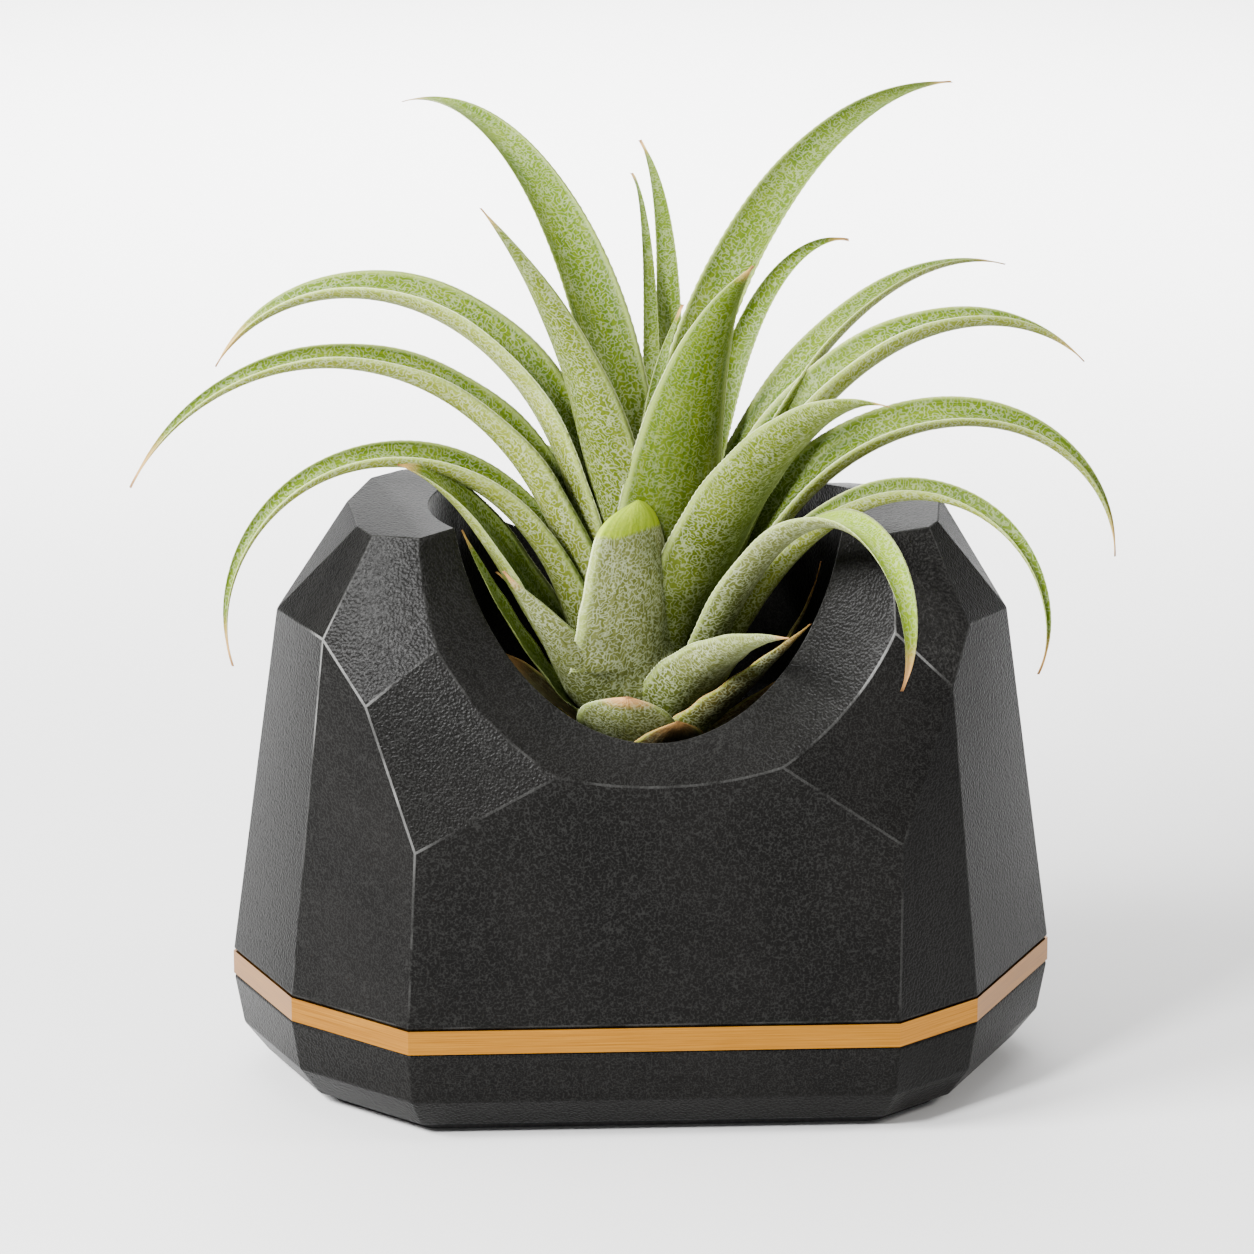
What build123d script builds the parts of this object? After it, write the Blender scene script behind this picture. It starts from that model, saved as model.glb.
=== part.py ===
"""Faceted air plant holder: cast body, brass band, screwed-on base and the plant it holds."""
from build123d import *
import os
from math import cos, pi, radians, sin, sqrt

# Frame: millimetres, +Z up, origin on the ground under the middle of the band's outline,
# the deep front scoop faces -Y.

# Driving dimensions of the cast body
half_width = 70.0
half_depth = 45.0
body_bottom = 20.0
body_height = 78.4
body_top = body_bottom + body_height

# Plant: it grows in proportion, so the sizes of its stem and leaves follow the stem's height
core_height = 27.0
core_foot_share = 0.222
core_belly_share = 0.333
core_neck_share = 0.148
core_belly_height_share = 0.444
longest_leaf_share = 4.815
widest_leaf_share = 0.74
core_foot_radius = core_foot_share * core_height
core_radius = core_belly_share * core_height
core_neck_radius = core_neck_share * core_height
core_belly_height = core_belly_height_share * core_height
longest_leaf = longest_leaf_share * core_height
widest_leaf = widest_leaf_share * core_height
core_neck_drop = 19.4

# Cavity for the plant
cavity_radius = 36.0
cavity_forward = 3.0
cavity_floor = body_top - core_neck_drop - core_height
cavity_floor_fillet = 9.0

# Scoops that open the cavity's rim: the inner edge lies on the cavity wall
front_inner_half_width = 32.0
front_inner_drop = 31.6
front_outer_half_width = 38.0
front_outer_drop = 38.4
front_lip_width = 7.0
rear_inner_half_width = 31.0
rear_inner_drop = 16.0
rear_outer_half_width = 37.0
rear_outer_drop = 21.5
rear_lip_width = 7.0
scoop_start_share = -0.6
scoop_end_share = 5.0

# Brass band between body and base
band_height = 4.0
band_thickness = 1.6
band_joint_gap = 0.3
shadow_chamfer = 0.5

# Pad under the base, which covers the screw heads
pad_thickness = 2.0
pad_inset = 9.0
pad_corner_radius = 4.0

# Base and its raised land, which locates the body
base_bottom = pad_thickness
base_top = body_bottom - band_height
base_belly = 7.2
base_belly_inset = 1.5
base_bottom_inset = 5.4
land_height = 3.0
land_wall = 8.0
land_clearance = 0.3

# Fasteners
screw_inset_x = 28.0
screw_inset_y = 23.0
screw_spacing_x = 2 * (half_width - screw_inset_x)
screw_spacing_y = 2 * (half_depth - screw_inset_y)
screw_diameter = 4.0
screw_length = 25.0
screw_head_diameter = 8.0
screw_head_height = 2.4
screw_socket_diameter = 4.4
screw_socket_depth = 1.4
screw_hole_clearance = 0.25
screw_head_clearance = 0.2
thread_clearance = 0.05
insert_diameter = 6.4
insert_length = 8.0
insert_groove_depth = 0.4
insert_groove_height = 1.2
insert_hole_spare = 3.0

# Leaves of the plant
leaf_root_sink = 1.0
leaf_tip_width = 0.7
leaf_tip_thickness = 0.4
leaf_thickness_share = 0.35
leaf_root_width_share = 0.78
leaf_widening_share = 0.2
leaf_roll_share = 0.3
leaf_station_shares = (0.0, 0.1, 0.25, 0.45, 0.65, 0.82, 0.94, 1.0)
leaf_steps = 60

cut_overrun = 5.0

# Corners of the faceted body: shares of half_width, half_depth and body_height
corner_shares = {
    "band_left": (-1.0, 0.0, 0.0),
    "band_left_front": (-0.851, -0.591, 0.0),
    "band_front_left": (-0.582, -1.0, 0.0),
    "band_front_right": (0.570, -1.0, 0.0),
    "band_right_front": (0.779, -0.715, 0.0),
    "band_right": (1.0, 0.0, 0.0),
    "band_right_rear": (0.840, 0.600, 0.0),
    "band_rear_right": (0.560, 1.0, 0.0),
    "band_rear_left": (-0.600, 1.0, 0.0),
    "band_left_rear": (-0.800, 0.680, 0.0),
    "front_left_low": (-0.550, -1.0, 0.393),
    "front_left_mid": (-0.673, -0.811, 0.672),
    "front_left_high": (-0.769, -0.653, 0.795),
    "left_shoulder": (-0.879, -0.207, 0.798),
    "left_top_front": (-0.649, -0.531, 1.0),
    "left_top_mid": (-0.687, -0.353, 1.0),
    "left_top_side": (-0.707, 0.030, 1.0),
    "front_left_inner": (-0.236, -1.0, 0.545),
    "front_right_low": (0.560, -1.0, 0.397),
    "front_right_mid": (0.694, -0.838, 0.703),
    "front_right_high": (0.747, -0.664, 0.802),
    "right_shoulder": (0.861, -0.289, 0.791),
    "right_top_front": (0.657, -0.504, 1.0),
    "right_top_mid": (0.683, -0.409, 1.0),
    "right_top_side": (0.716, 0.0, 1.0),
    "front_right_inner": (0.293, -1.0, 0.559),
    "left_top_rear": (-0.650, 0.410, 1.0),
    "rear_top_left": (-0.576, 0.540, 1.0),
    "rear_left_mid": (-0.600, 0.800, 0.620),
    "rear_left_low": (-0.550, 0.970, 0.420),
    "right_top_rear": (0.660, 0.360, 1.0),
    "rear_top_right": (0.590, 0.520, 1.0),
    "rear_right_mid": (0.600, 0.820, 0.580),
    "rear_right_low": (0.530, 0.975, 0.380),
    "rear_crease_middle": (0.0, 0.500, 1.0),
    "rear_crease_low": (0.600, 0.520, 0.955),
}

# Leaves of the rosette, as shares and degrees: azimuth about the stem (0 is +X, 90 the rear),
# root height share of the stem, length share, width share, taper, lean at root and tip,
# bend, swing of the azimuth, roll about the middle line and fold of the two halves
leaf_shares = {
    "leaf_back_left_tall": (125, 0.85, 0.971, 0.744, 2.13, -3, 106, 1.5, -4, -8, 30),
    "leaf_front_left_upright": (232, 0.70, 0.714, 0.869, 2.23, -10, 45, 0.68, -9, -4, 25),
    "leaf_left_high": (174, 0.60, 0.894, 0.90, 2.75, 0, 151, 1.8, 1, -12, 43),
    "leaf_left_long": (189, 0.50, 0.965, 0.90, 1.37, 2, 152, 1.41, 11, -20, 55),
    "leaf_left_drooping": (196, 0.42, 0.887, 0.75, 1.3, 7, 198, 1.52, 7, -23, 55),
    "leaf_left_inner": (199, 0.34, 0.481, 0.80, 3.5, 30, 75, 4.5, 10, -32, 31),
    "leaf_left_small": (216, 0.26, 0.373, 0.37, 3.0, 66, 24, 0.4, -25, -32, 18),
    "leaf_back_thin_left": (81, 0.95, 0.745, 0.250, 1.54, 28, 90, 2.54, 14, 1, 30),
    "leaf_back_thin_right": (72, 0.95, 0.771, 0.338, 2.39, 32, 77, 2.79, 29, -11, 30),
    "leaf_heart_spike": (60, 0.98, 0.42, 0.35, 1.8, -6, 49, 2.1, -3, 0, 30),
    "leaf_back_right_tall": (51, 0.85, 1.046, 0.549, 2.72, -4, 96, 1.02, -3, 27, 30),
    "leaf_heart_broad": (-71, 0.82, 0.596, 1.025, 2.08, 14, 50, 2.88, 16, -19, 22),
    "leaf_right_upright": (33, 0.78, 0.634, 0.329, 3.46, 15, 107, 4.5, 1, 53, 35),
    "leaf_right_high": (17, 0.66, 0.785, 0.78, 1.73, 16, 108, 1.95, 17, 0, 41),
    "leaf_right_long": (3, 0.58, 0.820, 0.90, 2.19, 15, 137, 2.03, 11, 8, 49),
    "leaf_front_right_broad": (-51, 0.62, 0.773, 0.837, 2, 11, 85, 0.91, -24, -17, 28),
    "leaf_right_arching": (0, 0.48, 0.860, 0.76, 2.03, 17, 180, 1.74, 4, 23, 47),
    "leaf_right_drooping": (-25, 0.40, 0.825, 0.68, 1.3, 27, 208, 2.18, -19, 23, 55),
    "leaf_front_right_drooping": (-45, 0.36, 0.761, 0.537, 2.89, 27, 217, 2.43, -23, 3, 35),
    "bract_front_blunt": (-102, 0.40, 0.309, 1.25, 23.0, 17.5, -11, 2.31, 45, 29, 21),
    "bract_front_inner": (-72, 0.60, 0.263, 0.919, 3.1, -1.3, 49, 3.96, -5, -30, 27),
    "bract_left_pointed": (-127, 0.30, 0.326, 0.77, 1.3, 39, 40, 0.4, -22, 30, 28),
    "bract_right_pointed": (-64, 0.28, 0.413, 0.85, 1.3, 9, 78, 0.4, -4, -24, 30),
    "bract_right_narrow": (-47, 0.20, 0.305, 0.75, 1.41, 53, 47, 0.43, 8, -3, 30),
    "bract_low_left": (-106, 0.14, 0.193, 0.907, 7.8, 62, 33, 1.56, 20, -9, 16),
    "bract_left_brown": (-152, 0.20, 0.195, 0.60, 4.25, 59, 43, 0.47, -39, -8, 20),
    "bract_right_brown": (-30, 0.14, 0.211, 0.44, 2.51, 55, 46, 2.32, -2, -5, 30),
    "leaf_right_withered": (-8, 0.20, 0.31, 0.25, 1.9, 55, 11, 1.4, 0, 0, 30),
    "bract_low_middle": (-81, 0.05, 0.264, 0.789, 3.1, 63.5, 57, 1.35, -7, 4, 19),
    "leaf_rear_right": (66, 0.52, 0.52, 0.60, 2.5, 14, 120, 1.7, 10, 0, 35),
    "leaf_rear_middle": (98, 0.44, 0.52, 0.60, 2.5, 18, 140, 1.6, -6, 0, 35),
    "leaf_rear_left": (120, 0.50, 0.44, 0.60, 2.5, 14, 110, 1.8, -8, 0, 35),
    "bract_rear_left": (150, 0.28, 0.25, 0.55, 2.0, 22, 60, 0.9, 0, 0, 30),
    "bract_rear_right": (40, 0.30, 0.25, 0.55, 2.0, 22, 60, 0.9, 0, 0, 30),
    "bract_rear_middle": (92, 0.20, 0.26, 0.60, 2.0, 30, 70, 0.8, 0, 0, 30),
}

# Each facet is the plane through three corners
facets = [
    ("band_front_left", "band_front_right", "front_left_low"),
    ("band_left_front", "band_front_left", "front_left_high"),
    ("band_left", "left_shoulder", "front_left_high"),
    ("front_left_high", "left_shoulder", "left_top_front"),
    ("left_shoulder", "left_top_mid", "left_top_side"),
    ("front_left_high", "left_top_front", "front_left_mid"),
    ("front_left_mid", "front_left_low", "front_left_inner"),
    ("band_right_front", "band_front_right", "front_right_mid"),
    ("band_right", "right_shoulder", "front_right_mid"),
    ("right_shoulder", "right_top_front", "front_right_high"),
    ("right_shoulder", "right_top_mid", "right_top_side"),
    ("right_top_front", "front_right_mid", "front_right_high"),
    ("front_right_mid", "front_right_low", "front_right_inner"),
    ("left_shoulder", "left_top_side", "left_top_rear"),
    ("band_left", "left_shoulder", "left_top_rear"),
    ("left_top_rear", "rear_top_left", "rear_left_mid"),
    ("rear_top_left", "rear_left_mid", "rear_left_low"),
    ("band_rear_left", "band_left_rear", "rear_left_mid"),
    ("right_shoulder", "right_top_side", "right_top_rear"),
    ("band_right", "right_shoulder", "right_top_rear"),
    ("right_top_side", "rear_crease_middle", "rear_crease_low"),
    ("right_top_rear", "rear_top_right", "rear_right_mid"),
    ("rear_top_right", "rear_right_mid", "rear_right_low"),
    ("band_rear_right", "band_right_rear", "rear_right_mid"),
    ("band_rear_right", "band_rear_left", "rear_left_low"),
]


def corner(name):
    """Real place of a named corner of the body."""
    across, back, up = corner_shares[name]
    return Vector(across * half_width, back * half_depth, body_bottom + up * body_height)


def facet_plane(names):
    """Plane through three corners, its normal pointing out of the body."""
    first, second, third = [corner(name) for name in names]
    normal = (second - first).cross(third - first).normalized()
    middle = Vector(0, 0, body_bottom + body_height / 2)
    if normal.dot(first - middle) < 0:
        normal = normal * -1
    return Plane(origin=first, z_dir=normal)


def scoop_section(side, share, inner_half_width, inner_drop, outer_half_width, outer_drop, lip_width):
    """Slanted plane and half axes of a scoop's section, share 0 at the inner edge and 1 at the outer.

    side is -1 for the front scoop and 1 for the rear one.
    """
    half_across = inner_half_width + share * (outer_half_width - inner_half_width)
    drop = inner_drop + share * (outer_drop - inner_drop)
    top_reach = sqrt(cavity_radius**2 - inner_half_width**2) + share * lip_width
    low_reach = cavity_radius + share * lip_width
    centre = Vector(0, side * top_reach - cavity_forward, body_top)
    slope = Vector(0, side * (low_reach - top_reach), -drop)
    plane = Plane(origin=centre, x_dir=(1, 0, 0), z_dir=Vector(1, 0, 0).cross(slope))
    return plane, half_across, slope.length


def outline_sketch(inset):
    """Band outline drawn inset by this much, for use inside a sketch."""
    Polygon(*outline_points, align=None)
    if inset > 0:
        offset(amount=-inset, kind=Kind.INTERSECTION)


def stem_radius(height):
    """Radius of the stem at this height above the cavity floor."""
    if height < core_belly_height:
        share = height / core_belly_height
        return core_foot_radius + share * (core_radius - core_foot_radius)
    share = (height - core_belly_height) / (core_height - core_belly_height)
    return core_radius + share * (core_neck_radius - core_radius)


def leaf_sections(leaf):
    """Planes and half widths of a leaf's sections, worked out along its bending middle line."""
    azimuth, root_share, length_share, width_share, taper = leaf[:5]
    root_lean, tip_lean, bend, swing, roll, fold = leaf[5:]
    length = length_share * longest_leaf
    root_height = root_share * core_height
    root_radius = stem_radius(root_height) - leaf_root_sink
    turn = radians(azimuth)
    place = Vector(
        root_radius * cos(turn), root_radius * sin(turn) - cavity_forward, cavity_floor + root_height
    )
    sections = []
    walked = 0
    for station in leaf_station_shares:
        while walked < station * leaf_steps:
            share = (walked + 0.5) / leaf_steps
            heading = leaf_heading(share, azimuth, root_lean, tip_lean, bend, swing)
            place = place + heading * (length / leaf_steps)
            walked += 1
        heading = leaf_heading(station, azimuth, root_lean, tip_lean, bend, swing)
        side_turn = radians(azimuth + swing * station)
        across = Vector(-sin(side_turn), cos(side_turn), 0)
        lean_roll = roll * min(1, station / leaf_roll_share)
        across = across.rotate(Axis((0, 0, 0), heading), lean_roll)
        widening = sin(pi / 2 * min(1, station / leaf_widening_share))
        width_factor = leaf_root_width_share + (1 - leaf_root_width_share) * widening
        width = width_share * widest_leaf * width_factor * (1 - station**taper)
        width = max(width, leaf_tip_width)
        half_across = width / 2 * cos(radians(fold))
        depth = width / 2 * sin(radians(fold))
        thickness = max(leaf_thickness_share * depth, leaf_tip_thickness)
        sections.append((Plane(origin=place, x_dir=across, z_dir=heading), half_across, depth, thickness))
    return sections


def leaf_heading(share, azimuth, root_lean, tip_lean, bend, swing):
    """Direction of a leaf's middle line at this share of its length."""
    lean = radians(root_lean + (tip_lean - root_lean) * share**bend)
    turn = radians(azimuth + swing * share)
    return Vector(sin(lean) * cos(turn), sin(lean) * sin(turn), cos(lean))


os.makedirs("parts", exist_ok=True)

# Upper body: a block cut by the facets, bored for the plant and scooped front and rear
with BuildPart() as upper_body:
    with BuildSketch(Plane.XY.offset(body_bottom)):
        Rectangle(4 * half_width, 4 * half_depth)
    extrude(amount=body_height)
    for facet in facets:
        split(bisect_by=facet_plane(facet), keep=Keep.BOTTOM)
    underside = upper_body.faces().sort_by(Axis.Z)[0]
    outline_points = [tuple(edge @ 0)[:2] for edge in underside.outer_wire().order_edges()]
    chamfer(underside.edges(), length=shadow_chamfer)
    with BuildSketch(Plane.XY.offset(cavity_floor)):
        with Locations((0, -cavity_forward)):
            Circle(cavity_radius)
    extrude(amount=body_top - cavity_floor + cut_overrun, mode=Mode.SUBTRACT)
    fillet(upper_body.edges().filter_by(GeomType.CIRCLE).sort_by(Axis.Z)[0], radius=cavity_floor_fillet)
    front_scoop = (
        front_inner_half_width,
        front_inner_drop,
        front_outer_half_width,
        front_outer_drop,
        front_lip_width,
    )
    rear_scoop = (
        rear_inner_half_width,
        rear_inner_drop,
        rear_outer_half_width,
        rear_outer_drop,
        rear_lip_width,
    )
    for side, scoop in ((-1, front_scoop), (1, rear_scoop)):
        for share in (scoop_start_share, scoop_end_share):
            section_plane, half_across, half_slope = scoop_section(side, share, *scoop)
            with BuildSketch(section_plane):
                Ellipse(half_across, half_slope)
        loft(ruled=True, mode=Mode.SUBTRACT)
    with BuildSketch(Plane.XY.offset(body_bottom)):
        outline_sketch(land_wall - land_clearance)
    extrude(amount=land_height, mode=Mode.SUBTRACT)
    with BuildSketch(Plane.XY.offset(body_bottom + land_height)):
        with GridLocations(screw_spacing_x, screw_spacing_y, 2, 2):
            Circle(insert_diameter / 2)
    extrude(amount=insert_length + insert_hole_spare, mode=Mode.SUBTRACT)
upper_body.part.label = "upper_body"
export_step(upper_body.part, "parts/upper_body.step")

# Brass band: a strip bent round the outline, its ends meeting at the rear
with BuildPart() as brass_band:
    with BuildSketch(Plane.XY.offset(base_top)):
        outline_sketch(0)
    extrude(amount=band_height)
    with BuildSketch(Plane.XY.offset(base_top)):
        outline_sketch(band_thickness)
    extrude(amount=band_height, mode=Mode.SUBTRACT)
    with BuildSketch(Plane.XY.offset(base_top)):
        with Locations((0, half_depth)):
            Rectangle(band_joint_gap, 4 * band_thickness)
    extrude(amount=band_height, mode=Mode.SUBTRACT)
brass_band.part.label = "brass_band"
export_step(brass_band.part, "parts/brass_band.step")

# Base: tapers in below the band, with a land that fills the band and locates the body
land_top = body_bottom + land_height
head_seat = base_bottom + screw_head_height + screw_head_clearance
with BuildPart() as base:
    base_sections = [
        (base_bottom, base_bottom_inset),
        (base_belly, base_belly_inset),
        (base_top, 0),
    ]
    for height, inset in base_sections:
        with BuildSketch(Plane.XY.offset(height)):
            outline_sketch(inset)
    loft(ruled=True)
    chamfer(base.faces().sort_by(Axis.Z)[-1].edges(), length=shadow_chamfer)
    with BuildSketch(Plane.XY.offset(base_top)):
        outline_sketch(band_thickness + land_clearance)
    extrude(amount=band_height)
    with BuildSketch(Plane.XY.offset(body_bottom)):
        outline_sketch(land_wall)
    extrude(amount=land_height)
    with BuildSketch(Plane.XY.offset(base_bottom)):
        with GridLocations(screw_spacing_x, screw_spacing_y, 2, 2):
            Circle(screw_head_diameter / 2 + screw_head_clearance)
    extrude(amount=head_seat - base_bottom, mode=Mode.SUBTRACT)
    with BuildSketch(Plane.XY.offset(head_seat)):
        with GridLocations(screw_spacing_x, screw_spacing_y, 2, 2):
            Circle(screw_diameter / 2 + screw_hole_clearance)
    extrude(amount=land_top - head_seat, mode=Mode.SUBTRACT)
base.part.label = "base"
export_step(base.part, "parts/base.step")

# Threaded inserts cast into the body, one over each screw
with BuildPart() as threaded_inserts:
    with BuildSketch(Plane.XY.offset(land_top)):
        with GridLocations(screw_spacing_x, screw_spacing_y, 2, 2):
            Circle(insert_diameter / 2)
            Circle(screw_diameter / 2 + thread_clearance, mode=Mode.SUBTRACT)
    extrude(amount=insert_length)
    with BuildSketch(Plane.XY.offset(land_top + (insert_length - insert_groove_height) / 2)):
        with GridLocations(screw_spacing_x, screw_spacing_y, 2, 2):
            Circle(insert_diameter / 2)
            Circle(insert_diameter / 2 - insert_groove_depth, mode=Mode.SUBTRACT)
    extrude(amount=insert_groove_height, mode=Mode.SUBTRACT)
threaded_inserts.part.label = "threaded_inserts"
export_step(threaded_inserts.part, "parts/threaded_inserts.step")

# Screws put in from below, heads up against the base
with BuildPart() as screws:
    with BuildSketch(Plane.XY.offset(head_seat - screw_head_height)):
        with GridLocations(screw_spacing_x, screw_spacing_y, 2, 2):
            Circle(screw_head_diameter / 2)
    extrude(amount=screw_head_height)
    with BuildSketch(Plane.XY.offset(head_seat)):
        with GridLocations(screw_spacing_x, screw_spacing_y, 2, 2):
            Circle(screw_diameter / 2)
    extrude(amount=screw_length)
    with BuildSketch(Plane.XY.offset(head_seat - screw_head_height)):
        with GridLocations(screw_spacing_x, screw_spacing_y, 2, 2):
            RegularPolygon(screw_socket_diameter / 2, 6)
    extrude(amount=screw_socket_depth, mode=Mode.SUBTRACT)
screws.part.label = "screws"
export_step(screws.part, "parts/screws.step")

# Pad glued under the base
with BuildPart() as base_pad:
    with BuildSketch(Plane.XY):
        outline_sketch(pad_inset)
        fillet(vertices(), radius=pad_corner_radius)
    extrude(amount=pad_thickness)
base_pad.part.label = "base_pad"
export_step(base_pad.part, "parts/base_pad.step")

# Plant stem: the part of the rosette that stands on the cavity floor
with BuildPart() as plant_stem:
    with BuildSketch(Plane.XZ.offset(cavity_forward)):
        with BuildLine():
            Polyline(
                (0, cavity_floor),
                (core_foot_radius, cavity_floor),
                (core_radius, cavity_floor + core_belly_height),
                (core_neck_radius, cavity_floor + core_height),
                (0, cavity_floor + core_height),
                close=True,
            )
        make_face()
    revolve(axis=Axis((0, -cavity_forward, 0), (0, 0, 1)))
plant_stem.part.label = "plant_stem"
export_step(plant_stem.part, "parts/plant_stem.step")

# Leaves and bracts: channelled blades that taper to a point
for leaf_name, leaf_row in leaf_shares.items():
    with BuildPart() as leaf:
        for section_plane, half_across, depth, thickness in leaf_sections(leaf_row):
            with BuildSketch(section_plane):
                with BuildLine():
                    margins = [(-half_across, depth / 2), (half_across, depth / 2)]
                    ThreePointArc(margins[0], (0, -depth / 2), margins[1])
                    ThreePointArc(margins[1], (0, thickness - depth / 2), margins[0])
                make_face()
        loft()
    leaf.part.label = leaf_name
    export_step(leaf.part, f"parts/{leaf_name}.step")
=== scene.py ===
# %% [markdown]
# # An air plant in its faceted holder
# A black cast pot with a brass band stands on a white table, and an air plant grows out of it.
# The exact solids come from the CAD model as a fixed frame, in metres. This file gives them
# their finishes and grows the leaves, which the CAD model only blocks out.

# %% Load the frame
import bmesh
import bpy
from math import cos, pi, radians, sin
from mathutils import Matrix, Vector


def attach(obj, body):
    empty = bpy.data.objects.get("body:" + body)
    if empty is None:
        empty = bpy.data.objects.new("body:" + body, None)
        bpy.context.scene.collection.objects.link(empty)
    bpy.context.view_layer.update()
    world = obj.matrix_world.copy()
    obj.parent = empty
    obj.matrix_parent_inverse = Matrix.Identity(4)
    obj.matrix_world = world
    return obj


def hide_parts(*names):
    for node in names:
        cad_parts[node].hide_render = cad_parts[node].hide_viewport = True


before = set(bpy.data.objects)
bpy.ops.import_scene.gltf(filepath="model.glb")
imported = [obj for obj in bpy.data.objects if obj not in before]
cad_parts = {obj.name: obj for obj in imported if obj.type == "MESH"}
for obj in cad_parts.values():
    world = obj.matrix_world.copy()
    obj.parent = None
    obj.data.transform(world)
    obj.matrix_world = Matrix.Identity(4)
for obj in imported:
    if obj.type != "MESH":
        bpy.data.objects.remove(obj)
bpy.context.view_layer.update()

# %% [markdown]
# ## Camera
# The camera's place, aim and lens were worked out from the corners of the band and the rim in
# the photograph, so it comes first and every later look is judged through it.

# %% Camera
aim = Vector((-0.002617, 0.0, 0.076156))
azimuth, elevation, distance = radians(-2.98), radians(14.49), 0.9
away = Vector((sin(azimuth) * cos(elevation), -cos(azimuth) * cos(elevation), sin(elevation)))
camera = bpy.data.objects.new("camera", bpy.data.cameras.new("camera"))
camera.location = aim + distance * away
camera.rotation_euler = (-away).to_track_quat("-Z", "Y").to_euler()
camera.data.lens = 152.85
camera.data.sensor_width = 36.0
bpy.context.collection.objects.link(camera)
bpy.context.scene.camera = camera
print("camera at", [round(value, 3) for value in camera.location])

# %% [markdown]
# ## Floor and light
# The photograph has a white table that runs into a white background, one broad light from the
# left and a weaker one from the right. A wide floor, a white world and area lights give that.
# One more light hangs over the table behind the holder and shines straight down, so that the
# background turns nearly white without lighting the front.

# %% Floor and lights
floor_reach = 4.0
light_aim = Vector((0, 0, 0.06))
world_strength = 0.60


def new_piece(name, mesh):
    """Puts a mesh in the scene as an object at the origin."""
    piece = bpy.data.objects.new(name, mesh)
    bpy.context.collection.objects.link(piece)
    return piece


floor_mesh = bpy.data.meshes.new("floor")
corner_signs = [(-1, -1), (1, -1), (1, 1), (-1, 1)]
floor_corners = [(x * floor_reach, y * floor_reach, 0) for x, y in corner_signs]
floor_mesh.from_pydata(floor_corners, [], [(0, 1, 2, 3)])
floor = new_piece("floor", floor_mesh)


def area_light(name, place, size, power, colour=(1, 1, 1)):
    """A square softbox that faces the middle of the holder."""
    data = bpy.data.lights.new(name, "AREA")
    data.size = size
    data.energy = power
    data.color = colour
    light = bpy.data.objects.new(name, data)
    light.location = place
    light.rotation_euler = (Vector(place) - light_aim).to_track_quat("Z", "Y").to_euler()
    bpy.context.collection.objects.link(light)
    return light


area_light("key_light", (-0.62, -0.30, 0.54), 0.30, 25.0)
area_light("front_light", (-0.40, -0.54, 0.52), 0.12, 16.0)
area_light("top_light", (0.00, 0.10, 0.95), 0.70, 8.0)
area_light("back_light", (0.00, 1.70, 0.70), 1.00, 10.0)
area_light("right_light", (0.66, -0.18, 0.50), 0.20, 3.5, (1.0, 0.97, 0.93))
table_light = area_light("table_light", (0.00, 1.00, 0.90), 1.10, 42.0)
table_light.rotation_euler = (0, 0, 0)
table_light.data.spread = radians(75)
world = bpy.data.worlds.new("studio")
world.use_nodes = True
world.node_tree.nodes["Background"].inputs["Color"].default_value = (1, 1, 1, 1)
world.node_tree.nodes["Background"].inputs["Strength"].default_value = world_strength
bpy.context.scene.world = world
print("lights:", [light.name for light in bpy.data.lights])

# %% [markdown]
# ## Writing node trees as sums
# Materials and geometry trees are both nodes joined by links. One small class stands for a
# node's output, so that arithmetic in Python adds Math nodes, and one method adds any other
# node with its settings and inputs.

# %% Node helpers


class Wire:
    """One output of a node, with arithmetic that adds Math nodes."""

    def __init__(self, net, socket):
        self.net = net
        self.socket = socket

    def math(self, operation, *others):
        inputs = dict(enumerate((self, *others)))
        return self.net.add("ShaderNodeMath", {"operation": operation}, inputs)

    def __add__(self, other):
        return self.math("ADD", other)

    __radd__ = __add__

    def __mul__(self, other):
        return self.math("MULTIPLY", other)

    __rmul__ = __mul__

    def __sub__(self, other):
        return self.math("SUBTRACT", other)

    def __rsub__(self, other):
        return self.net.add("ShaderNodeMath", {"operation": "SUBTRACT"}, {0: other, 1: self})

    def __truediv__(self, other):
        return self.math("DIVIDE", other)

    def __pow__(self, other):
        return self.math("POWER", other)

    def clamped(self):
        return self.net.add("ShaderNodeClamp", {}, {0: self})

    def step(self, low, high):
        """0 below low, 1 above high and a smooth rise between."""
        settings = {"interpolation_type": "SMOOTHSTEP"}
        inputs = {"Value": self, "From Min": low, "From Max": high}
        return self.net.add("ShaderNodeMapRange", settings, inputs)


class Net:
    """A node tree that is written down in Python."""

    def __init__(self, tree):
        self.tree = tree

    def add(self, kind, settings=None, inputs=None, output=0):
        node = self.tree.nodes.new(kind)
        for name, value in (settings or {}).items():
            setattr(node, name, value)
        for key, value in (inputs or {}).items():
            self.join(value, node.inputs[key])
        return Wire(self, node.outputs[output])

    def join(self, value, socket):
        if isinstance(value, Wire):
            self.tree.links.new(value.socket, socket)
        else:
            socket.default_value = value


def mix(net, factor, first, second):
    """Blend of two colours."""
    inputs = {"Factor": factor, 6: first, 7: second}
    return net.add("ShaderNodeMix", {"data_type": "RGBA"}, inputs, 2)


def rgb(red, green, blue):
    return (red, green, blue, 1.0)


def new_material(name, roughness=0.5, metallic=0.0):
    """An empty material with a net to draw in and its Principled shader."""
    material = bpy.data.materials.new(name)
    material.use_nodes = True
    net = Net(material.node_tree)
    shader = material.node_tree.nodes["Principled BSDF"]
    shader.inputs["Roughness"].default_value = roughness
    shader.inputs["Metallic"].default_value = metallic
    return material, net, shader


def noise(net, place, scale, detail=2.0, rough=0.5):
    """Noise value, 0 to 1, at a place in metres with this many features to the metre."""
    inputs = {"Vector": place, "Scale": scale, "Detail": detail, "Roughness": rough}
    return net.add("ShaderNodeTexNoise", {}, inputs)


def object_place(net):
    return net.add("ShaderNodeTexCoord", {}, {}, 3)


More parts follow.
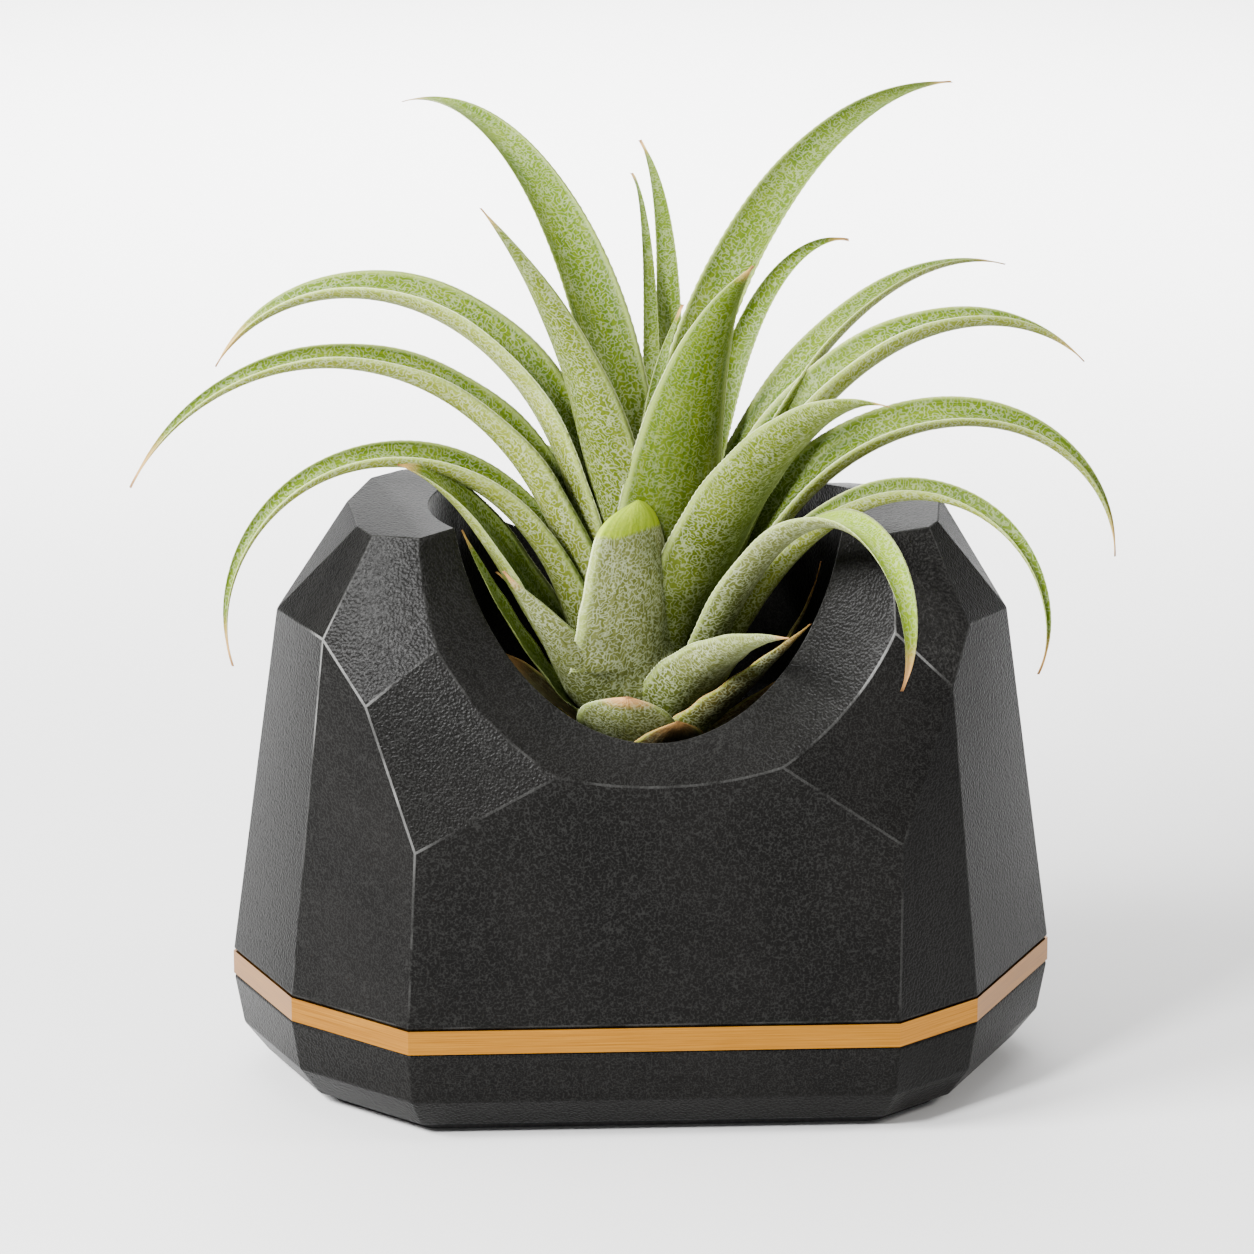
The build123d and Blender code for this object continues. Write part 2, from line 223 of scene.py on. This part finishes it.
def attribute(net, name):
    """Value stored on the mesh under this name."""
    return net.add("ShaderNodeAttribute", {"attribute_name": name}, {}, 2)


def bump(net, height, strength, reach):
    inputs = {"Height": height, "Strength": strength, "Distance": reach}
    return net.add("ShaderNodeBump", {}, inputs)


floor_material, net, shader = new_material("white_table", 0.6)
shader.inputs["Base Color"].default_value = rgb(0.60, 0.60, 0.60)
floor.data.materials.append(floor_material)
print("node helpers ready")

# %% [markdown]
# ## Cast body
# The pot is cast from a dark mineral mix: matte, nearly black, and covered with fine pale
# grains that the light picks out. One noise gives the grain and a broad one the slow change
# of tone. The grain drives colour, roughness and bump so that they agree. The arris finish is
# the same recipe painted paler, partly as edge wear broken into patches and partly as a painted
# highlight along the edges, strongest at a few painted highlight spots on the lit facets.

# %% Cast finish
# Spots where the arris is painted paler as a highlight, and the pale colour used for both edge
# wear and painted highlight.
highlight_places = [(-0.055, -0.031, 0.076), (-0.047, -0.040, 0.056), (0.036, -0.036, 0.084)]
highlight_near, highlight_far = 0.006, 0.015
grain_scale, cloud_scale, patch_scale = 2300, 60, 160
cast_darkest, cast_dark = rgb(0.0030, 0.0029, 0.0027), rgb(0.0042, 0.0040, 0.0037)
grain_pale, wear_and_highlight_pale = rgb(0.022, 0.022, 0.021), rgb(0.090, 0.090, 0.087)


def cast_finish(name, worn_and_lit):
    material, net, shader = new_material(name, 0.7)
    place = object_place(net)
    grain = noise(net, place, grain_scale, 0.6, 0.4)
    worm = 1 - ((grain - 0.5).math("ABSOLUTE") * 12).clamped()
    cloud = noise(net, place, cloud_scale, 3.0)
    dark = mix(net, cloud.step(0.3, 0.7), cast_darkest, cast_dark)
    sandy = mix(net, worm * 0.45, dark, grain_pale)
    # Arris only: paler patches that are partly wear and partly painted highlight, with painted
    # highlight spots at the highlight places.
    if worn_and_lit:
        patchy = noise(net, place, patch_scale, 4.0).step(0.35, 0.62)
        wear_and_highlight = patchy * 0.15
        for worn_place in highlight_places:
            inputs = {0: place, 1: worn_place}
            reach = net.add("ShaderNodeVectorMath", {"operation": "DISTANCE"}, inputs, 1)
            wear_and_highlight = wear_and_highlight + (1 - reach.step(highlight_near, highlight_far)) * (0.35 + patchy * 0.65)
        sandy = mix(net, wear_and_highlight.clamped(), sandy, wear_and_highlight_pale)
    shader.inputs["Specular IOR Level"].default_value = 0.036
    net.join(sandy, shader.inputs["Base Color"])
    net.join(0.31 + cloud * 0.04 - worm * 0.04, shader.inputs["Roughness"])
    net.join(bump(net, grain, 0.42, 0.0003), shader.inputs["Normal"])
    return material


cast_black = cast_finish("cast_black", False)
cast_arris_wear_highlight = cast_finish("cast_arris_wear_highlight", True)
print("cast finishes made")

# %% [markdown]
# The CAD body has sharp edges and the real one has small rounded arrises. A copy of each cast
# piece is merged into whole facets and gets a Bevel modifier, whose new faces take the arris
# finish, paler as wear and as painted highlight. Bevel weights pick the edges: every sharp one,
# and the shallow ones between two large facets, which would otherwise be shaded as one bent face.
# The narrow strips of the round cavity and the scoops stay smooth.

# %% Cast pieces
facet_area = 0.0002
sharp_turn, facet_turn = radians(14), radians(3)
same_plane_turn = radians(0.4)
same_point, short_edge = 1e-6, 0.0003
upper_arris, base_arris = 0.00022, 0.0003


def merged_copy(node):
    """Copy of a CAD node's mesh with its triangles joined into whole facets."""
    mesh = bpy.data.objects[node].data.copy()
    work = bmesh.new()
    work.from_mesh(mesh)
    bmesh.ops.remove_doubles(work, verts=work.verts, dist=same_point)
    bmesh.ops.dissolve_limit(work, angle_limit=same_plane_turn, verts=work.verts, edges=work.edges)
    bmesh.ops.remove_doubles(work, verts=work.verts, dist=short_edge)
    weight = work.edges.layers.float.new("bevel_weight_edge")
    for face in work.faces:
        face.smooth = True
    for edge in work.edges:
        if len(edge.link_faces) == 2:
            turn = edge.calc_face_angle(0)
            flat = min(face.calc_area() for face in edge.link_faces) > facet_area
            edge[weight] = float(turn > sharp_turn or (flat and turn > facet_turn))
    work.to_mesh(mesh)
    work.free()
    mesh.materials.clear()
    return mesh


def cast_piece(node, arris_width, arris_finish):
    piece = new_piece(node + "_cast", merged_copy(node))
    piece.data.materials.append(cast_black)
    piece.data.materials.append(arris_finish)
    bevel = piece.modifiers.new("arris", "BEVEL")
    bevel.width = arris_width
    bevel.segments = 3
    bevel.limit_method = "WEIGHT"
    bevel.use_clamp_overlap = False
    bevel.harden_normals = True
    bevel.material = 1
    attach(piece, "holder")
    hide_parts(node)
    print(piece.name, "from", len(piece.data.polygons), "facets")


cast_piece("upper_body", upper_arris, cast_arris_wear_highlight)
cast_piece("base", base_arris, cast_black)

# %% [markdown]
# ## Metal and rubber
# The band is brass rolled lengthwise, so its fine scratches run level round the pot. Noise
# squeezed hard in height and stretched along the band draws them. The screws and inserts
# are turned parts, and the pad is plain rubber.

# %% Metal and rubber finishes


def stretched(net, across, along):
    """Object place scaled so that noise draws level lines."""
    inputs = {"Vector": object_place(net), "Scale": (along, along, across)}
    return net.add("ShaderNodeMapping", {}, inputs)


def metal_finish(name, dark, light, roughness, across, along):
    material, net, shader = new_material(name, roughness, 1.0)
    lines = noise(net, stretched(net, across, along), 1.0, 3.0, 0.6)
    fine = noise(net, stretched(net, across * 3, along * 3), 1.0, 2.0)
    tone = (lines * 0.7 + fine * 0.3).step(0.3, 0.7)
    net.join(mix(net, tone, dark, light), shader.inputs["Base Color"])
    net.join(roughness + lines * 0.16 - 0.06, shader.inputs["Roughness"])
    net.join(bump(net, lines + fine * 0.5, 0.25, 0.00005), shader.inputs["Normal"])
    return material


brushed_brass = metal_finish(
    "brushed_brass", rgb(0.22, 0.086, 0.009), rgb(0.37, 0.165, 0.022), 0.30, 5200, 45
)
turned_brass = metal_finish(
    "turned_brass", rgb(0.52, 0.36, 0.16), rgb(0.72, 0.54, 0.27), 0.35, 2600, 200
)
turned_steel = metal_finish(
    "turned_steel", rgb(0.42, 0.43, 0.45), rgb(0.60, 0.61, 0.63), 0.35, 2600, 200
)

rubber, net, shader = new_material("rubber", 0.85)
crumb = noise(net, object_place(net), 1500, 3.0)
rubber_tone = mix(net, crumb.step(0.3, 0.7), rgb(0.012, 0.012, 0.012), rgb(0.028, 0.028, 0.028))
net.join(rubber_tone, shader.inputs["Base Color"])
net.join(0.78 + crumb * 0.15, shader.inputs["Roughness"])
net.join(bump(net, crumb, 0.3, 0.0001), shader.inputs["Normal"])


def finish_node(node, material):
    """Gives a CAD node that stays in view its finish."""
    mesh = bpy.data.objects[node].data
    mesh.materials.clear()
    mesh.materials.append(material)


finish_node("brass_band", brushed_brass)
finish_node("threaded_inserts", turned_brass)
finish_node("screws", turned_steel)
finish_node("base_pad", rubber)
print("metal and rubber finished")

# %% [markdown]
# ## Leaf finishes
# An air plant drinks through silvery scales that cover its leaves as a maze of pale marks,
# thick outside and thin inside. Under them the leaf is green, yellower along its margins and
# tan at the tip. Toward the root it is painted darker green with fewer scales, as painted shade
# deep in the rosette. The geometry tree below stores how far along and across the leaf each point
# lies and on which side, and the finish is painted from those.

# %% Leaf finishes
pale_margin = rgb(0.50, 0.56, 0.30)
painted_shade_green = rgb(0.022, 0.030, 0.001)
scale_white = rgb(0.40, 0.45, 0.28)
margin_yellow = rgb(0.18, 0.25, 0.008)
dead_brown = rgb(0.16, 0.075, 0.030)
cloud_green = rgb(0.14, 0.18, 0.02)
maze_scale, thin_scale, leaf_cloud_scale = 1500, 200, 110


def leaf_finish(
    name, inside, outside, scales, tip, tip_reach, margin=pale_margin, dead_tip=0.8, painted_shade_reach=0.42
):
    """Leaf material from pairs of values.

    inside, outside and tip are (dark, light) colours, scales the cover (inside, outside) and
    tip_reach where along the leaf its tip colour (starts, is full). Up to painted_shade_reach
    along the leaf, painted shade makes it deeper green with fewer scales.
    """
    material, net, shader = new_material(name, 0.45)
    shader.inputs["Specular IOR Level"].default_value = 0.08
    place = object_place(net)
    along = attribute(net, "along")
    across = attribute(net, "across")
    inner = attribute(net, "inner")
    edge = across.math("ABSOLUTE")
    side = inner.step(0.4, 0.6)
    vein_place = net.add("ShaderNodeCombineXYZ", {}, {0: across * 9, 1: along * 5, 2: inner * 3})
    vein = noise(net, vein_place, 1.6, 2.0)
    cloud = noise(net, place, leaf_cloud_scale, 2.0)
    maze = noise(net, place, maze_scale, 0.3, 0.4)
    mark = 1 - ((maze - 0.5).math("ABSOLUTE") * 9).clamped()
    thin = noise(net, place, thin_scale, 1.0).step(0.25, 0.60)
    cover = mark * (0.65 + thin * 0.35)

    inside_green = mix(net, vein.step(0.35, 0.65), inside[0], inside[1])
    outside_green = mix(net, vein.step(0.35, 0.65), outside[0], outside[1])
    green = mix(net, side, outside_green, inside_green)
    # Painted shade: the leaf turns darker green toward the root, where the rosette shades it.
    green = mix(net, (1 - along.step(0.1, painted_shade_reach)) * 0.85, green, painted_shade_green)
    green = mix(net, cloud.step(0.45, 0.75) * 0.25, green, cloud_green)
    # The pale scale cover is also thinned toward the root, which darkens it further as part of the
    # painted shade.
    amount = (side * (scales[0] - scales[1]) + scales[1]) * (0.45 + along.step(0.0, painted_shade_reach) * 0.55)
    scaled = mix(net, (cover * amount).clamped(), green, scale_white)
    yellow = edge.step(0.78, 0.95) * 0.55
    yellowish = mix(net, 0.75, margin, margin_yellow)
    scaled = mix(net, yellow * (1 - cover * 0.4), scaled, yellowish)
    scaled = mix(net, edge.step(0.968, 0.993) * 0.85, scaled, margin)
    drying = (along + (cloud - 0.5) * 0.06).step(tip_reach[0], tip_reach[1])
    tan = mix(net, vein.step(0.3, 0.7), tip[0], tip[1])
    colour = mix(net, drying * 0.92, scaled, tan)
    colour = mix(net, along.step(0.975, 1.0) * dead_tip, colour, dead_brown)
    net.join(colour, shader.inputs["Base Color"])
    net.join(0.45 + cover * 0.25, shader.inputs["Roughness"])
    net.join(bump(net, maze * 0.5 + vein * 0.5, 0.5, 0.0003), shader.inputs["Normal"])
    return material


tan_tip = (rgb(0.42, 0.22, 0.06), rgb(0.52, 0.33, 0.11))
tan_margin = rgb(0.36, 0.21, 0.08)
side_leaf = leaf_finish(
    "side_leaf",
    (rgb(0.040, 0.074, 0.002), rgb(0.078, 0.116, 0.003)),
    (rgb(0.120, 0.148, 0.012), rgb(0.180, 0.208, 0.026)),
    (0.30, 0.60), tan_tip, (0.91, 0.985),
)
tall_leaf = leaf_finish(
    "tall_leaf",
    (rgb(0.036, 0.070, 0.001), rgb(0.068, 0.104, 0.002)),
    (rgb(0.058, 0.084, 0.003), rgb(0.090, 0.116, 0.007)),
    (0.26, 0.42), tan_tip, (0.93, 0.99), painted_shade_reach=0.65,
)
heart_leaf = leaf_finish(
    "heart_leaf",
    (rgb(0.034, 0.066, 0.0), rgb(0.062, 0.098, 0.0)),
    (rgb(0.040, 0.074, 0.0), rgb(0.068, 0.102, 0.0)),
    (0.06, 0.18), tan_tip, (0.93, 0.99), painted_shade_reach=0.8,
)
pale_bract = leaf_finish(
    "pale_bract",
    (rgb(0.100, 0.170, 0.002), rgb(0.160, 0.235, 0.006)),
    (rgb(0.090, 0.102, 0.022), rgb(0.140, 0.155, 0.048)),
    (0.35, 0.70), (rgb(0.45, 0.20, 0.06), rgb(0.60, 0.33, 0.14)), (0.88, 0.985), painted_shade_reach=0.5,
)
blunt_bract = leaf_finish(
    "blunt_bract",
    (rgb(0.100, 0.170, 0.002), rgb(0.160, 0.235, 0.006)),
    (rgb(0.090, 0.102, 0.022), rgb(0.140, 0.155, 0.048)),
    (0.35, 0.70), (rgb(0.19, 0.28, 0.003), rgb(0.27, 0.36, 0.010)), (0.870, 0.895),
    dead_tip=0.0, painted_shade_reach=0.2,
)
olive_bract = leaf_finish(
    "olive_bract",
    (rgb(0.040, 0.036, 0.008), rgb(0.075, 0.066, 0.016)),
    (rgb(0.048, 0.044, 0.009), rgb(0.085, 0.074, 0.018)),
    (0.30, 0.55), (rgb(0.20, 0.12, 0.03), rgb(0.30, 0.18, 0.05)), (0.75, 0.97), tan_margin,
)
dry_bract = leaf_finish(
    "dry_bract",
    (rgb(0.040, 0.031, 0.010), rgb(0.095, 0.070, 0.024)),
    (rgb(0.070, 0.048, 0.015), rgb(0.140, 0.095, 0.033)),
    (0.15, 0.30), (rgb(0.26, 0.13, 0.04), rgb(0.35, 0.19, 0.065)), (0.70, 0.97), tan_margin,
)
print(len(bpy.data.materials), "materials so far")

# %% [markdown]
# ## One tree for every leaf
# All the leaves follow one law. A leaf leaves the stem at an azimuth and a height, its
# heading leans over steadily from root to tip and may swing sideways, it is widest near the
# root and tapers, and its section is a crescent whose hollow side faces the heart. Geometry
# Nodes fit this well: a grid of points is rolled into that shape, and each leaf only has
# other numbers. The rows of the grid are stations along the leaf and the columns go round
# the crescent. Adding up the headings row by row gives each station's place.

# %% Stem and leaf sizes
stem_axis_back = -0.003
stem_floor = 0.052
stem_height = 0.027
stem_belly_height = 0.444 * stem_height
stem_foot_radius = 0.222 * stem_height
stem_belly_radius = 0.333 * stem_height
stem_neck_radius = 0.148 * stem_height
root_sink = 0.001
longest_leaf = 4.815 * stem_height
widest_leaf = 0.74 * stem_height
root_width_share = 0.78
widening_share = 0.2
roll_share = 0.3
thickness_share = 0.35
leaf_rows = 150
leaf_columns = 33
tip_width = 0.0007
tooth_size = 0.0002
ripple_size = 0.00025


def stem_radius(height):
    """Radius of the stem at this height over its foot."""
    if height < stem_belly_height:
        growth = stem_belly_radius - stem_foot_radius
        return stem_foot_radius + growth * height / stem_belly_height
    share = (height - stem_belly_height) / (stem_height - stem_belly_height)
    return stem_belly_radius + (stem_neck_radius - stem_belly_radius) * share


print("stem", stem_height, "m tall, belly radius", stem_radius(stem_belly_height))

# %% The leaf tree
leaf_inputs = [
    "Azimuth", "Root Height", "Root Radius", "Length", "Width", "Taper", "Root Lean",
    "Tip Lean", "Bend", "Swing", "Roll", "Fold", "Ripple", "Ripple Turns",
]
leaf_tree = bpy.data.node_groups.new("leaf", "GeometryNodeTree")
leaf_tree.is_modifier = True


def tree_socket(name, way, kind):
    """A named input or output of the leaf tree."""
    return leaf_tree.interface.new_socket(name, in_out=way, socket_type=kind)


sockets = {}
for name in leaf_inputs:
    sockets[name] = tree_socket(name, "INPUT", "NodeSocketFloat")
sockets["Finish"] = tree_socket("Finish", "INPUT", "NodeSocketMaterial")
tree_socket("Geometry", "OUTPUT", "NodeSocketGeometry")
net = Net(leaf_tree)
group_in = leaf_tree.nodes.new("NodeGroupInput")
given = {name: Wire(net, group_in.outputs[name]) for name in [*leaf_inputs, "Finish"]}


def combine(x, y, z):
    return net.add("ShaderNodeCombineXYZ", {}, {0: x, 1: y, 2: z})


def vector_math(operation, first, second):
    return net.add("ShaderNodeVectorMath", {"operation": operation}, {0: first, 1: second})


def scaled(vector, factor):
    return net.add("ShaderNodeVectorMath", {"operation": "SCALE"}, {0: vector, "Scale": factor})


def smaller(first, second):
    return first.math("MINIMUM", second)


to_radians = pi / 180


def heading(share):
    """Unit direction of the leaf's middle line at this share of its length."""
    leaning = (given["Tip Lean"] - given["Root Lean"]) * share ** given["Bend"]
    lean = (given["Root Lean"] + leaning) * to_radians
    turn = (given["Azimuth"] + given["Swing"] * share) * to_radians
    flat = lean.math("SINE")
    return combine(flat * turn.math("COSINE"), flat * turn.math("SINE"), lean.math("COSINE")), turn


spans = leaf_rows - 3
index = net.add("GeometryNodeInputIndex")
row = (index / leaf_columns).math("FLOOR")
column = index - row * leaf_columns
share = ((row - 1) / spans).clamped()
middle_share = ((row - 0.5) / spans).clamped()
walks = row.math("GREATER_THAN", 0.5) * row.math("LESS_THAN", leaf_rows - 2.5)
stride = heading(middle_share)[0]
stride = scaled(stride, walks * given["Length"] / spans)
inputs = {"Value": stride, "Group ID": column}
travelled = net.add("GeometryNodeAccumulateField", {"data_type": "FLOAT_VECTOR"}, inputs, 1)
start_turn = given["Azimuth"] * to_radians
root = combine(
    given["Root Radius"] * start_turn.math("COSINE"),
    given["Root Radius"] * start_turn.math("SINE") + stem_axis_back,
    given["Root Height"] + stem_floor,
)
place = vector_math("ADD", root, travelled)

# %% The crescent section
forward, turn = heading(share)
flat_across = combine(turn.math("SINE") * -1, turn.math("COSINE"), 0.0)
roll = given["Roll"] * to_radians * smaller(share / roll_share, 1)
inputs = {"Vector": flat_across, "Axis": forward, "Angle": roll}
across = net.add("ShaderNodeVectorRotate", {"rotation_type": "AXIS_ANGLE"}, inputs)
hollow = vector_math("CROSS_PRODUCT", forward, across)
widening = (smaller(share / widening_share, 1) * (pi / 2)).math("SINE")
widening = widening * (1 - root_width_share) + root_width_share
width = (given["Width"] * widening * (1 - share ** given["Taper"])).math("MAXIMUM", tip_width)
fold = given["Fold"] * to_radians
half = width * 0.5 * fold.math("COSINE")
depth = width * 0.5 * fold.math("SINE")
thickness = depth * thickness_share
round_share = column / (leaf_columns - 1)
inner = round_share.math("GREATER_THAN", 0.5 + 0.1 / leaf_columns)
outer_way = round_share * 4 - 1
inner_way = 3 - round_share * 4
way = outer_way + inner * (inner_way - outer_way)


def arc(depth_of_arc, bottom):
    """Point of the circle through both margins and this bottom, at the way across."""
    radius = (half * half + depth_of_arc * depth_of_arc) / (depth_of_arc * 2)
    reach = half.math("ARCTAN2", radius - depth_of_arc)
    angle = reach * way
    return radius * angle.math("SINE"), bottom + radius - radius * angle.math("COSINE")


outer_x, outer_y = arc(depth, depth * -0.5)
inner_x, inner_y = arc(depth - thickness, thickness - depth * 0.5)
edge = way.math("ABSOLUTE")
tooth = (row.math("MODULO", 2) - 0.5) * (edge ** 12) * way * tooth_size * (1 - share)
section_x = outer_x + inner * (inner_x - outer_x) + tooth
section_y = outer_y + inner * (inner_y - outer_y)
ripple = (share * given["Ripple Turns"] + way * 0.15) * (2 * pi)
ripple = ripple.math("SINE") * given["Ripple"] * way * way * smaller(share * 4, 1) * (1 - share)
open_row = row.math("GREATER_THAN", 0.5) * row.math("LESS_THAN", leaf_rows - 1.5)
offset = vector_math("ADD", scaled(across, section_x), scaled(hollow, section_y + ripple))
position = vector_math("ADD", place, scaled(offset, open_row))

# %% From grid to leaf
inputs = {"Size X": 1.0, "Size Y": 1.0, "Vertices X": leaf_rows, "Vertices Y": leaf_columns}
body = net.add("GeometryNodeMeshGrid", {}, inputs)
for name, value in (("along", share), ("across", way), ("inner", inner)):
    inputs = {"Geometry": body, "Name": name, "Value": value}
    body = net.add("GeometryNodeStoreNamedAttribute", {}, inputs)
body = net.add("GeometryNodeSetPosition", {}, {"Geometry": body, "Position": position})
body = net.add("GeometryNodeMergeByDistance", {}, {"Geometry": body, "Distance": same_point})
body = net.add("GeometryNodeFlipFaces", {}, {"Mesh": body})
body = net.add("GeometryNodeSetShadeSmooth", {}, {"Geometry": body})
body = net.add("GeometryNodeRealizeInstances", {}, {"Geometry": body})
body = net.add("GeometryNodeSetMaterial", {}, {"Geometry": body, "Material": given["Finish"]})
group_out = leaf_tree.nodes.new("NodeGroupOutput")
net.join(body, group_out.inputs["Geometry"])
print("leaf tree of", len(leaf_tree.nodes), "nodes")

# %% [markdown]
# ## Growing the leaves
# Each row names a leaf and gives its numbers, read off the photograph one leaf at a time:
# azimuth, root height, length, width, taper, leans, bend, swing, roll and fold. They are the
# same as the CAD solids' numbers, so every leaf grows where the solid it stands for is.

# %% Leaf rows
leaf_rows_of = {
    "leaf_back_left_tall": (125, 0.85, 0.971, 0.744, 2.13, -3, 106, 1.5, -4, -8, 30),
    "leaf_front_left_upright": (232, 0.7, 0.714, 0.869, 2.23, -10, 45, 0.68, -9, -4, 25),
    "leaf_left_high": (174, 0.6, 0.894, 0.9, 2.75, 0, 151, 1.8, 1, -12, 43),
    "leaf_left_long": (189, 0.5, 0.965, 0.9, 1.37, 2, 152, 1.41, 11, -20, 55),
    "leaf_left_drooping": (196, 0.42, 0.887, 0.75, 1.3, 7, 198, 1.52, 7, -23, 55),
    "leaf_left_inner": (199, 0.34, 0.481, 0.8, 3.5, 30, 75, 4.5, 10, -32, 31),
    "leaf_left_small": (216, 0.26, 0.373, 0.37, 3, 66, 24, 0.4, -25, -32, 18),
    "leaf_back_thin_left": (81, 0.95, 0.745, 0.25, 1.54, 28, 90, 2.54, 14, 1, 30),
    "leaf_back_thin_right": (72, 0.95, 0.771, 0.338, 2.39, 32, 77, 2.79, 29, -11, 30),
    "leaf_heart_spike": (60, 0.98, 0.42, 0.35, 1.8, -6, 49, 2.1, -3, 0, 30),
    "leaf_back_right_tall": (51, 0.85, 1.046, 0.549, 2.72, -4, 96, 1.02, -3, 27, 30),
    "leaf_heart_broad": (-71, 0.82, 0.596, 1.025, 2.08, 14, 50, 2.88, 16, -19, 22),
    "leaf_right_upright": (33, 0.78, 0.634, 0.329, 3.46, 15, 107, 4.5, 1, 53, 35),
    "leaf_right_high": (17, 0.66, 0.785, 0.78, 1.73, 16, 108, 1.95, 17, 0, 41),
    "leaf_right_long": (3, 0.58, 0.82, 0.9, 2.19, 15, 137, 2.03, 11, 8, 49),
    "leaf_front_right_broad": (-51, 0.62, 0.773, 0.837, 2, 11, 85, 0.91, -24, -17, 28),
    "leaf_right_arching": (0, 0.48, 0.86, 0.76, 2.03, 17, 180, 1.74, 4, 23, 47),
    "leaf_right_drooping": (-25, 0.4, 0.825, 0.68, 1.3, 27, 208, 2.18, -19, 23, 55),
    "leaf_front_right_drooping": (-45, 0.36, 0.761, 0.537, 2.89, 27, 217, 2.43, -23, 3, 35),
    "bract_front_blunt": (-102, 0.4, 0.309, 1.25, 23, 17.5, -11, 2.31, 45, 29, 21),
    "bract_front_inner": (-72, 0.6, 0.263, 0.919, 3.1, -1.3, 49, 3.96, -5, -30, 27),
    "bract_left_pointed": (-127, 0.3, 0.326, 0.77, 1.3, 39, 40, 0.4, -22, 30, 28),
    "bract_right_pointed": (-64, 0.28, 0.413, 0.85, 1.3, 9, 78, 0.4, -4, -24, 30),
    "bract_right_narrow": (-47, 0.2, 0.305, 0.75, 1.41, 53, 47, 0.43, 8, -3, 30),
    "bract_low_left": (-106, 0.14, 0.193, 0.907, 7.8, 62, 33, 1.56, 20, -9, 16),
    "bract_left_brown": (-152, 0.2, 0.195, 0.6, 4.25, 59, 43, 0.47, -39, -8, 20),
    "bract_right_brown": (-30, 0.14, 0.211, 0.44, 2.51, 55, 46, 2.32, -2, -5, 30),
    "leaf_right_withered": (-8, 0.2, 0.31, 0.25, 1.9, 55, 11, 1.4, 0, 0, 30),
    "bract_low_middle": (-81, 0.05, 0.264, 0.789, 3.1, 63.5, 57, 1.35, -7, 4, 19),
    "leaf_rear_right": (66, 0.52, 0.52, 0.6, 2.5, 14, 120, 1.7, 10, 0, 35),
    "leaf_rear_middle": (98, 0.44, 0.52, 0.6, 2.5, 18, 140, 1.6, -6, 0, 35),
    "leaf_rear_left": (120, 0.5, 0.44, 0.6, 2.5, 14, 110, 1.8, -8, 0, 35),
    "bract_rear_left": (150, 0.28, 0.25, 0.55, 2, 22, 60, 0.9, 0, 0, 30),
    "bract_rear_right": (40, 0.3, 0.25, 0.55, 2, 22, 60, 0.9, 0, 0, 30),
    "bract_rear_middle": (92, 0.2, 0.26, 0.6, 2, 30, 70, 0.8, 0, 0, 30),
}
finish_of = {
    "leaf_back_left_tall": tall_leaf,
    "leaf_front_left_upright": tall_leaf,
    "leaf_back_thin_left": tall_leaf,
    "leaf_back_thin_right": tall_leaf,
    "leaf_heart_spike": tall_leaf,
    "leaf_back_right_tall": tall_leaf,
    "leaf_heart_broad": heart_leaf,
    "leaf_right_upright": tall_leaf,
    "leaf_front_right_broad": tall_leaf,
    "leaf_front_right_drooping": pale_bract,
    "bract_front_blunt": blunt_bract,
    "bract_front_inner": blunt_bract,
    "bract_left_pointed": pale_bract,
    "bract_right_pointed": pale_bract,
    "bract_right_narrow": olive_bract,
    "bract_low_left": pale_bract,
    "bract_left_brown": dry_bract,
    "bract_right_brown": dry_bract,
    "leaf_right_withered": dry_bract,
    "bract_low_middle": dry_bract,
}
print(len(leaf_rows_of), "leaves listed")

# %% Grow every leaf


def grow(name, row, number):
    """Runs the leaf tree with one row of numbers and keeps the mesh."""
    azimuth, root, length, width, taper, root_lean, tip_lean, bend, swing, roll, fold = row
    seed_mesh = bpy.data.meshes.new(name)
    piece = new_piece(name + "_grown", seed_mesh)
    modifier = piece.modifiers.new("leaf", "NODES")
    modifier.node_group = leaf_tree
    root_height = root * stem_height
    values = {
        "Azimuth": azimuth, "Root Height": root_height,
        "Root Radius": stem_radius(root_height) - root_sink,
        "Length": length * longest_leaf, "Width": width * widest_leaf, "Taper": taper,
        "Root Lean": root_lean, "Tip Lean": tip_lean, "Bend": bend, "Swing": swing, "Roll": roll,
        "Fold": fold, "Ripple": ripple_size, "Ripple Turns": 3.0 + number % 4,
        "Finish": finish_of.get(name, side_leaf),
    }
    for key, value in values.items():
        modifier[sockets[key].identifier] = value if key == "Finish" else float(value)
    evaluated = piece.evaluated_get(bpy.context.evaluated_depsgraph_get())
    grown = bpy.data.meshes.new_from_object(evaluated)
    piece.modifiers.remove(modifier)
    piece.data = grown
    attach(piece, "plant")
    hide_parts(name)
    "dry_bract" if values["Finish"] in (dry_bract, olive_bract) else "leaf"
    return piece


grown_leaves = [grow(name, row, number) for number, (name, row) in enumerate(leaf_rows_of.items())]
print("grown", len(grown_leaves), "leaves of", len(grown_leaves[0].data.polygons), "faces each")

# %% The stem
stem_material, net, shader = new_material("stem", 0.7)
fibre = noise(net, stretched(net, 500, 500), 1.0, 3.0)
stem_tone = mix(net, fibre.step(0.3, 0.7), rgb(0.07, 0.06, 0.015), rgb(0.16, 0.15, 0.05))
net.join(stem_tone, shader.inputs["Base Color"])
net.join(0.6 + fibre * 0.2, shader.inputs["Roughness"])
net.join(bump(net, fibre, 0.4, 0.0005), shader.inputs["Normal"])
finish_node("plant_stem", stem_material)
